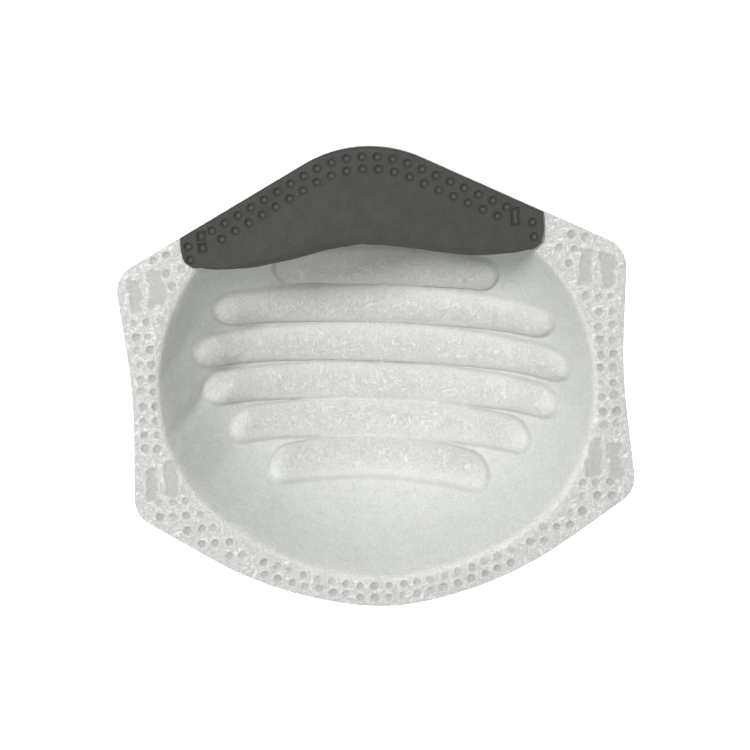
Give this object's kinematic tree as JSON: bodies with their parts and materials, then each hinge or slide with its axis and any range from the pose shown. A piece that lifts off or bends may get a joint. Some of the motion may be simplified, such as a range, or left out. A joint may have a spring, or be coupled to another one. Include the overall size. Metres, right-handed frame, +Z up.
{
  "type": "disposable dust mask",
  "caption": "Moulded cup dust mask with a ribbed inner shell, filter web, nose foam, bendable nose clip and elastic head straps.",
  "frame": {"origin": "on the face-seal plane, the wearer's side of the flat flange, at the middle of its outline", "axes": "+X along the width, +Z up towards the nose, +Y away from the wearer's face, so the cup bulges towards +Y"},
  "size_m": [0.136, 0.0542, 0.1254],
  "materials": {
    "inner_shell": "fuzzy white nonwoven, heat-set",
    "filter_web": "fine white melt-blown web",
    "outer_cover": "smooth white spun-bonded web",
    "nose_foam": "dark grey fine-celled soft foam",
    "nose_clip": "satin rolled strip",
    "strap": "flat knitted white elastic"
  },
  "bodies": {
    "mask_body": {"inner_shell": "inner_shell", "filter_web": "filter_web", "outer_cover": "outer_cover", "nose_foam": "nose_foam", "nose_clip": "nose_clip", "upper_left_strap_end": "strap", "upper_right_strap_end": "strap", "lower_left_strap_end": "strap", "lower_right_strap_end": "strap"},
    "upper_strap": {"upper_head_strap": "strap"},
    "lower_strap": {"lower_head_strap": "strap"}
  },
  "joints": [
    {"name": "upper_strap_swing", "type": "hinge", "parent": "mask_body", "child": "upper_strap", "pos_m": [0, 0.0051, 0.025], "axis": [1, 0, 0], "range_deg": [0, 85]},
    {"name": "lower_strap_swing", "type": "hinge", "parent": "mask_body", "child": "lower_strap", "pos_m": [0, 0.0051, -0.0268], "axis": [-1, 0, 0], "range_deg": [0, 85]}
  ]
}
